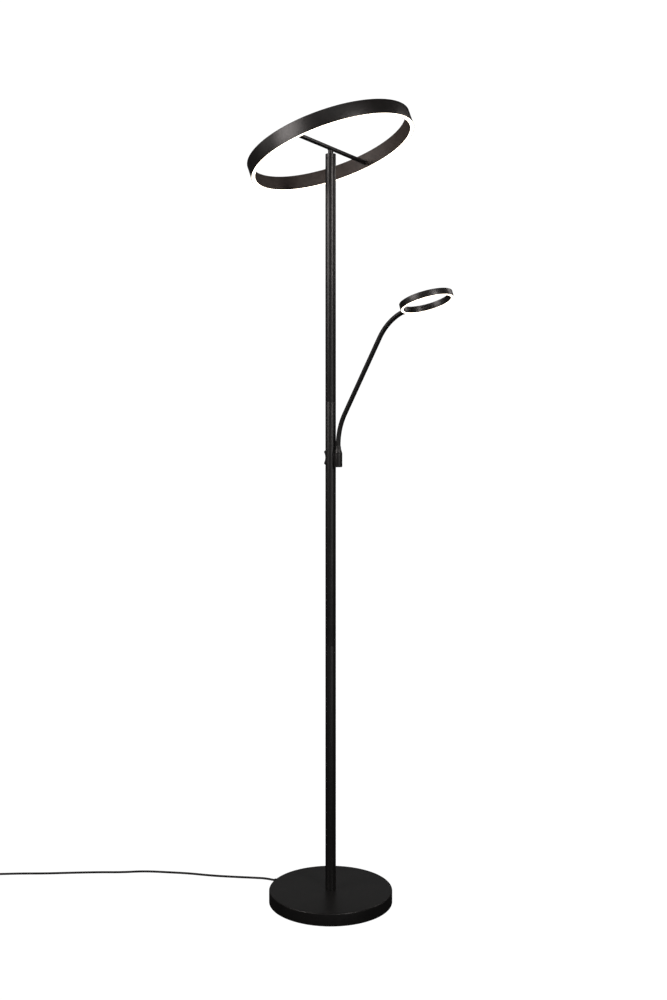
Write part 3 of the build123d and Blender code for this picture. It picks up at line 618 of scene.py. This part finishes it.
fit(lathe("tilt_bar", rounded([
    (BAR_R, -BAR_HALF, EASED),
    (BAR_R, BAR_HALF, EASED),
    (BAR_BORE_R, BAR_HALF, 0),
    (BAR_BORE_R, -BAR_HALF, 0),
]), SMALL_SIDES, [facing(bar_centre, bar_along)]), "head", "satin_black", "crossbar")

WELD_R = 1.4 * MM


def stem_outline():
    """Swivelling tube with a small weld bead where it meets the bar."""
    joint = bar_centre.z - BAR_R
    bead = [
        (STEM_R + WELD_R * (1 - sin(a)), joint - WELD_R * (1 - cos(a)) + WELD_R)
        for a in (radians(90 - 15 * k) for k in range(7))
    ]
    return [(STEM_BORE_R, stem_low), (STEM_R, stem_low), *bead, (STEM_BORE_R, bead[-1][1])]


fit(lathe("swivel_stem", stem_outline(), SMALL_SIDES), "head", "satin_black", "neck_stem")

WASHER_R = 7 * MM
WASHER = 2.3 * MM
PIVOT_BORE_R = 2.55 * MM
washer_places = [facing(bar_centre + bar_along * BAR_HALF * way, bar_along * way) for way in (1, -1)]
fit(lathe("pivot_washers", rounded([
    (PIVOT_BORE_R, 0, 0),
    (WASHER_R, 0, 0.5 * MM),
    (WASHER_R, WASHER, 0.2 * MM),
    (PIVOT_BORE_R, WASHER, 0),
]), SMALL_SIDES, washer_places), "head", "black_plastic", "friction_washers")

# ---- light rings --------------------------------------------------------------------

LIP = 1.1 * MM
CHANNEL_TOP = 1.5 * MM
LENS_GAP = 0.05 * MM
LENS = 1.6 * MM
LENS_LEG = 1 * MM
LENS_LEG_HEIGHT = 3 * MM
OUTER_EDGE_R = 0.7 * MM
LIP_EDGE_R = 0.35 * MM
INSIDE_TURN = 0.7  # how squarely a face looks at the ring's axis to take the inner-wall material, a painted glow on the head ring


def light_ring(name, body, housing, lens, low_azimuth, tilt, outer, inner, height, inside):
    """Channel ring that opens downwards, with its opal lens, tilted down towards an azimuth in degrees."""
    a = radians(low_azimuth)
    normal = Vector((sin(radians(tilt)) * cos(a), sin(radians(tilt)) * sin(a), cos(radians(tilt))))
    place = facing(middle(housing), normal)
    low, high = -height / 2, height / 2
    channel = rounded([
        (outer, high, OUTER_EDGE_R),
        (outer, low, LIP_EDGE_R),
        (outer - LIP, low, LIP_EDGE_R),
        (outer - LIP, high - CHANNEL_TOP, 0),
        (inner + LIP, high - CHANNEL_TOP, 0),
        (inner + LIP, low, LIP_EDGE_R),
        (inner, low, LIP_EDGE_R),
        (inner, high, OUTER_EDGE_R),
    ])
    ring = lathe(f"{name}_ring", channel, RING_SIDES, [place])
    fit(ring, body, "ring_black", housing)
    # Inward-looking faces take the second material: on the head ring a lighter warm brown that is painted glow of
    # the lens's light, on the reader the ring's own black.
    ring.data.materials.append(MATERIALS[inside].material)
    for face in ring.data.polygons:
        from_centre = face.center - place.translation
        spoke = (from_centre - normal * from_centre.dot(normal)).normalized()
        face.material_index = int(face.normal.dot(spoke) < -INSIDE_TURN)
    out, into = outer - LIP - LENS_GAP, inner + LIP + LENS_GAP
    shell = rounded([
        (out, low, LIP_EDGE_R),
        (out, low + LENS_LEG_HEIGHT, 0),
        (out - LENS_LEG, low + LENS_LEG_HEIGHT, 0),
        (out - LENS_LEG, low + LENS, 0),
        (into + LENS_LEG, low + LENS, 0),
        (into + LENS_LEG, low + LENS_LEG_HEIGHT, 0),
        (into, low + LENS_LEG_HEIGHT, 0),
        (into, low, LIP_EDGE_R),
    ])
    fit(lathe(f"{name}_lens", shell, RING_SIDES, [place]), body, "opal", lens)


HEAD_LOW_AZIMUTH = 154.3
HEAD_TILT = 20.07
ARM_AZIMUTH = -40.5
READER_TILT = 18.2
# The head ring's inner walls carry the painted warm glow, and the reader's stay plain black.
light_ring("head", "ring", "ring_housing", "ring_diffuser", HEAD_LOW_AZIMUTH, HEAD_TILT,
           outer=194 * MM, inner=184.5 * MM, height=34 * MM, inside="ring_painted_glow")
light_ring("reading", "reader", "reader_housing", "reader_diffuser", ARM_AZIMUTH + 180, READER_TILT,
           outer=58.6 * MM, inner=51.7 * MM, height=14.2 * MM, inside="ring_black")

# ---- reading arm --------------------------------------------------------------------

arm_out = Vector((cos(radians(ARM_AZIMUTH)), sin(radians(ARM_AZIMUTH)), 0))
arm_at = pivot("arm_swivel_turn").xy
ARM_PLACE = Matrix.Translation((*arm_at, 0))
SOCKET_R = 9.3 * MM
SOCKET_EDGE_R = 1.5 * MM
SPIGOT_HOLE_R = 4.05 * MM
SPIGOT_HOLE_Z = 1000 * MM
WEB_HALF_WIDTH = 3.6 * MM
WEB_CORNER_R = 0.8 * MM
WEB_INSET = 2 * MM
WEB_BITE = 0.35 * MM  # how deep the web sinks into the pole's wall
socket_low, socket_high = (corner.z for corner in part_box("arm_socket"))
socket = lathe("arm_bracket", rounded([
    (0, socket_low, 0),
    (SOCKET_R, socket_low, SOCKET_EDGE_R),
    (SOCKET_R, socket_high, 0.4 * MM),
    (SPIGOT_HOLE_R, socket_high, 0),
    (SPIGOT_HOLE_R, SPIGOT_HOLE_Z, 0),
    (0, SPIGOT_HOLE_Z, 0),
]), SLEEVE_SIDES, [ARM_PLACE])
web_half_height = (socket_high - socket_low) / 2 - WEB_INSET
web_outline = rectangle(WEB_HALF_WIDTH, web_half_height, WEB_CORNER_R)
web_start = POLE_R - WEB_BITE
web_end = arm_at.length - SPIGOT_HOLE_R - WEB_CORNER_R
web = loft("web", [(web_start, web_outline), (web_end, web_outline)],
           facing(UP * (socket_low + socket_high) / 2, arm_out))
combined(socket, web, "UNION")
fit(socket, "stand", "satin_black", "arm_socket")

SPIGOT_R = 4 * MM
GROOVE_R = 3.2 * MM
GROOVE_Z = 1010 * MM
GROOVE_HALF = 1.8 * MM
SLEEVE_ROOT_R = 9.1 * MM
SLEEVE_R = 6.6 * MM
SLEEVE_END_R = 5.9 * MM
SLEEVE_Z = 1028.5 * MM
SWIVEL_GAP = 0.3 * MM
NECK_R = 5.4 * MM
swivel_low, swivel_high = (corner.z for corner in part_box("arm_swivel"))
neck_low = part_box("neck_root")[0].z
sleeve_foot = socket_high + SWIVEL_GAP
fit(lathe("arm_sleeve", rounded([
    (0, swivel_low, 0),
    (SPIGOT_R, swivel_low, EASED),
    (SPIGOT_R, GROOVE_Z - GROOVE_HALF, 0),
    (GROOVE_R, GROOVE_Z - GROOVE_HALF, 0),
    (GROOVE_R, GROOVE_Z + GROOVE_HALF, 0),
    (SPIGOT_R, GROOVE_Z + GROOVE_HALF, 0),
    (SPIGOT_R, sleeve_foot, 0),
    (SLEEVE_ROOT_R, sleeve_foot, 0.4 * MM),
    (SLEEVE_R, SLEEVE_Z, 3 * MM),
    (SLEEVE_END_R, swivel_high, EASED),
    (NECK_R, swivel_high, 0),
    (NECK_R, neck_low, 0),
    (0, neck_low, 0),
]), SLEEVE_SIDES, [ARM_PLACE]), "arm_base", "satin_black", "arm_swivel")

NECK_JOINTS = 7
NECK_LEAN = radians(30.65)
NECK_LOWER_BEND_R = 139 * MM
NECK_STRAIGHT = 195 * MM
NECK_UPPER_BEND_R = 127.5 * MM
NECK_UPPER_TURN = radians(41.15)
neck_start = pivot("neck_bend_1")
lower_arc = NECK_LOWER_BEND_R * NECK_LEAN
upper_arc = NECK_UPPER_BEND_R * NECK_UPPER_TURN
neck_length = lower_arc + NECK_STRAIGHT + upper_arc
RING_STEP = 2.4 * MM
NECK_SEGMENTS = 56


def bend(length, radius, lean):
    """Sideways and upward travel along an arc that starts at a lean, and the lean at its end."""
    end = lean + length / radius
    return radius * (cos(lean) - cos(end)), radius * (sin(end) - sin(lean)), end


def neck_spot(along):
    """Point of the gooseneck's centreline and its lean, at a distance from its first bend."""
    out, up, lean = 0.0, along, 0.0
    if along > 0:
        out, up, lean = bend(min(along, lower_arc), NECK_LOWER_BEND_R, 0.0)
    straight = min(max(along - lower_arc, 0), NECK_STRAIGHT)
    out += straight * sin(NECK_LEAN)
    up += straight * cos(NECK_LEAN)
    if along > lower_arc + NECK_STRAIGHT:
        more_out, more_up, lean = bend(along - lower_arc - NECK_STRAIGHT, NECK_UPPER_BEND_R, NECK_LEAN)
        out += more_out
        up += more_up
    return neck_start + arm_out * out + UP * up, lean


def neck_sleeve(name, first, last):
    """Smooth hose around the centreline between two distances along it."""
    side = UP.cross(arm_out)
    count = ceil((last - first) / RING_STEP)
    bm = bmesh.new()
    loops = []
    for i in range(count + 1):
        centre, lean = neck_spot(first + (last - first) * i / count)
        across = arm_out * cos(lean) - UP * sin(lean)
        spokes = [2 * pi * k / NECK_SEGMENTS for k in range(NECK_SEGMENTS)]
        loops.append([bm.verts.new(centre + NECK_R * (across * cos(a) + side * sin(a))) for a in spokes])
    skin(bm, loops, closed=False)
    bm.faces.new(loops[0])
    bm.faces.new(loops[-1])
    return piece_from(bm, name)


joint_spots = [0, lower_arc]
joint_spots += [lower_arc + NECK_STRAIGHT * i / 4 for i in (1, 2, 3, 4)]
joint_spots.append(joint_spots[-1] + upper_arc / 2)
FERRULE_GRIP = 7 * MM
# Each sleeve runs between two ends, halfway between its joint and the next ones.
ends = [swivel_high - neck_start.z]
ends += [(a + b) / 2 for a, b in zip(joint_spots, joint_spots[1:])]
ends.append(neck_length - FERRULE_GRIP)
for i in range(NECK_JOINTS):
    first = ends[i] if i else neck_low - neck_start.z
    last = ends[i + 1] if i < NECK_JOINTS - 1 else neck_length
    sleeve = neck_sleeve(f"gooseneck_{i + 1}", first, last)
    stands_for = [f"neck_segment_{i + 1}"] if i else ["neck_root", "neck_segment_1"]
    dress(sleeve, "gooseneck_black", *stands_for)
    start, end = neck_spot(ends[i])[0], neck_spot(ends[i + 1])[0]
    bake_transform(sleeve)

FERRULE_R = 6.2 * MM
FERRULE_LENGTH = 9.3 * MM
FERRULE_GROOVE = 0.35 * MM
neck_end, end_lean = neck_spot(neck_length)
end_out = arm_out * sin(end_lean) + UP * cos(end_lean)
ferrule_outline = rounded([
    (NECK_R, 0, 0.1 * MM),
    (FERRULE_R, 0, 0.4 * MM),
    (FERRULE_R, 1.6 * MM, 0),
    (FERRULE_R - FERRULE_GROOVE, 1.8 * MM, 0),
    (FERRULE_R - FERRULE_GROOVE, 2.4 * MM, 0),
    (FERRULE_R, 2.6 * MM, 0),
    (FERRULE_R, FERRULE_LENGTH, 0),
    (0, FERRULE_LENGTH, 0),
    (0, FERRULE_GRIP, 0),
    (NECK_R, FERRULE_GRIP, 0),
])
fit(lathe("neck_collar", ferrule_outline, SLEEVE_SIDES,
          [facing(neck_end - end_out * FERRULE_GRIP, end_out)]),
    "reader", "satin_black", "neck_ferrule")

# ---- plug ---------------------------------------------------------------------------

PLUG_SLEEVE = 20 * MM
PLUG_LENGTH = 35 * MM
PIN_R = 2 * MM
PIN_PITCH = 18.6 * MM
PIN_LENGTH = 19 * MM
PIN_SLEEVE = 10 * MM
PLUG_STEPS = 6  # points in each rounded corner


def plug_section(width, thickness, corner):
    """Rounded rectangle, in millimetres."""
    return rectangle(width / 2 * MM, thickness / 2 * MM, corner * MM, PLUG_STEPS)


plug_sections = [
    (0, plug_section(6.2, 6.2, 3.0)),
    (0.6, plug_section(6.8, 6.8, 3.3)),
    (5, plug_section(7.2, 7.2, 3.5)),
]
for groove in (7, 10, 13, 16):
    width = 7.2 + (groove - 5) * 0.16
    plug_sections += [
        (groove, plug_section(width, width, width / 2 - 0.1)),
        (groove + 0.3, plug_section(width - 1.4, width - 1.4, width / 2 - 0.8)),
        (groove + 1.1, plug_section(width - 1.4, width - 1.4, width / 2 - 0.8)),
        (groove + 1.4, plug_section(width + 0.2, width + 0.2, width / 2)),
    ]
plug_sections += [
    (19, plug_section(9.6, 9.4, 4.5)),
    (20.5, plug_section(13.0, 10.4, 4.6)),
    (22.5, plug_section(16.5, 11.2, 4.8)),
    (27, plug_section(20.0, 11.8, 5.0)),
    (33, plug_section(23.4, 12.3, 5.2)),
    (41, plug_section(27.0, 12.8, 5.2)),
    (49, plug_section(30.4, 13.4, 5.2)),
    (52, plug_section(31.8, 13.7, 5.2)),
    (54.3, plug_section(31.8, 13.7, 5.2)),
    (54.8, plug_section(31.2, 13.1, 5.0)),
    (55, plug_section(30.2, 12.1, 4.6)),
]
plug_solid = loft("mains_plug", [(height * MM, outline) for height, outline in plug_sections],
                  facing(PLUG_AT, (-1, 0, 0)))
fit(plug_solid, "stand", "black_plastic", "plug_body")

plug_face_at = PLUG_AT + Vector((-PLUG_SLEEVE - PLUG_LENGTH, 0, 0))
pin_places = [facing(plug_face_at + Vector((0, PIN_PITCH / 2 * way, 0)), (-1, 0, 0)) for way in (1, -1)]
pin_sleeves = lathe("pin_sleeves", [
    (PIN_R - 0.6 * MM, -0.3 * MM),
    (PIN_R - 0.1 * MM, -0.3 * MM),
    (PIN_R - 0.1 * MM, PIN_SLEEVE),
    (PIN_R - 0.6 * MM, PIN_SLEEVE),
], PIN_SIDES, pin_places)
fit(pin_sleeves, "stand", "black_plastic")
contact_pins = lathe("contact_pins", rounded([
    (0, -0.3 * MM, 0),
    (PIN_R - 0.6 * MM, -0.3 * MM, 0),
    (PIN_R - 0.6 * MM, PIN_SLEEVE, 0),
    (PIN_R, PIN_SLEEVE, 0.15 * MM),
    (PIN_R, PIN_LENGTH, 1.5 * MM),
    (0, PIN_LENGTH, 0),
]), PIN_SIDES, pin_places)
fit(contact_pins, "stand", "nickel", "plug_pins")

mains_lead.data.materials.append(MATERIALS["cord_black"].material)
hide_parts("mains_cord", "cord_coil", "cord_tail")
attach(mains_lead, "stand")

# ---- studio -------------------------------------------------------------------------

FLOOR_R = 30.0
PAPER_SHEET = 0.5 * MM
PAPER_GLOW = 1.05
FILL = 0.012  # strength of the even light from all round


def glowing(name, strength):
    """Even white paper, lit from behind."""
    graph = Graph(name)
    paper = graph.ranged(graph.noise(0.4), 0, 1)
    graph.wire(graph.blended(paper, (0.99, 0.99, 0.99), (1, 1, 1)), graph.shader.inputs["Emission Color"])
    graph.shader.inputs["Base Color"].default_value = (0, 0, 0, 1)
    graph.shader.inputs["Specular IOR Level"].default_value = 0
    graph.shader.inputs["Emission Strength"].default_value = strength
    return graph.material


def seen_only(piece):
    """The camera sees the piece, and the light in the studio ignores it."""
    piece.visible_diffuse = False
    piece.visible_glossy = False
    piece.visible_transmission = False
    piece.visible_shadow = False


paper = glowing("paper", PAPER_GLOW)
floor = lathe("floor", [
    (0, -PAPER_SHEET),
    (FLOOR_R, -PAPER_SHEET),
    (FLOOR_R, -2 * PAPER_SHEET),
    (0, -2 * PAPER_SHEET),
], SMALL_SIDES)
floor.data.materials.append(paper)
seen_only(floor)
dome_outline = [
    (FLOOR_R * cos(radians(a)), FLOOR_R * sin(radians(a)) - 4 * PAPER_SHEET)
    for a in range(0, 91, 5)
]
dome_outline += [(0, FLOOR_R + 0.1), (FLOOR_R + 0.1, -4 * PAPER_SHEET)]
dome = lathe("backdrop", dome_outline, SMALL_SIDES)
dome.data.materials.append(paper)
seen_only(dome)

world = bpy.data.worlds.new("studio")
world.use_nodes = True
world.node_tree.nodes["Background"].inputs["Color"].default_value = (1, 1, 1, 1)
world.node_tree.nodes["Background"].inputs["Strength"].default_value = FILL
bpy.context.scene.world = world
bpy.context.scene.view_settings.view_transform = "Standard"

WARM = (1.0, 0.93, 0.91)


def softbox(name, at, towards, size, power, colour=(1, 1, 1)):
    """Rectangular light of a width and height in metres and a power in watts."""
    lamp = bpy.data.lights.new(name, "AREA")
    lamp.shape = "RECTANGLE"
    lamp.size, lamp.size_y = size
    lamp.energy = power
    lamp.color = colour
    box = bpy.data.objects.new(name, lamp)
    box.location = at
    box.rotation_euler = (Vector(towards) - Vector(at)).to_track_quat("-Z", "Y").to_euler()
    bpy.context.scene.collection.objects.link(box)


softbox("key_left", (-2.18, -1.416, 2.3), (0, 0, 2.15), (1.4, 1.3), 42, WARM)
softbox("key_right", (1.491, -2.13, 2.3), (0, 0, 2.15), (0.5, 1.3), 32, WARM)
softbox("rim_left", (-2.59, 0.227, 2.3), (0, 0, 2.15), (0.5, 1.3), 2.4, WARM)
softbox("rim_right", (2.252, 1.3, 2.3), (0, 0, 2.15), (0.5, 1.3), 9, WARM)
softbox("low_right", (1.491, -2.13, 0.8), (0, 0, 0.8), (0.5, 1.3), 4)
softbox("low_middle", (0.673, -2.511, 0.8), (0, 0, 0.8), (0.5, 1.3), 1.5)
softbox("front_top", (0, -1.8, 3.2), (0, 0, 1.2), (1.6, 1.0), 2.4)
softbox("low_front", (0, -2.2, 0.15), (0, 0, 0.6), (2.5, 0.25), 1.1)
softbox("back", (0, 3.0, 1.4), (0, 0, 0.1), (2.5, 1.2), 1.7)
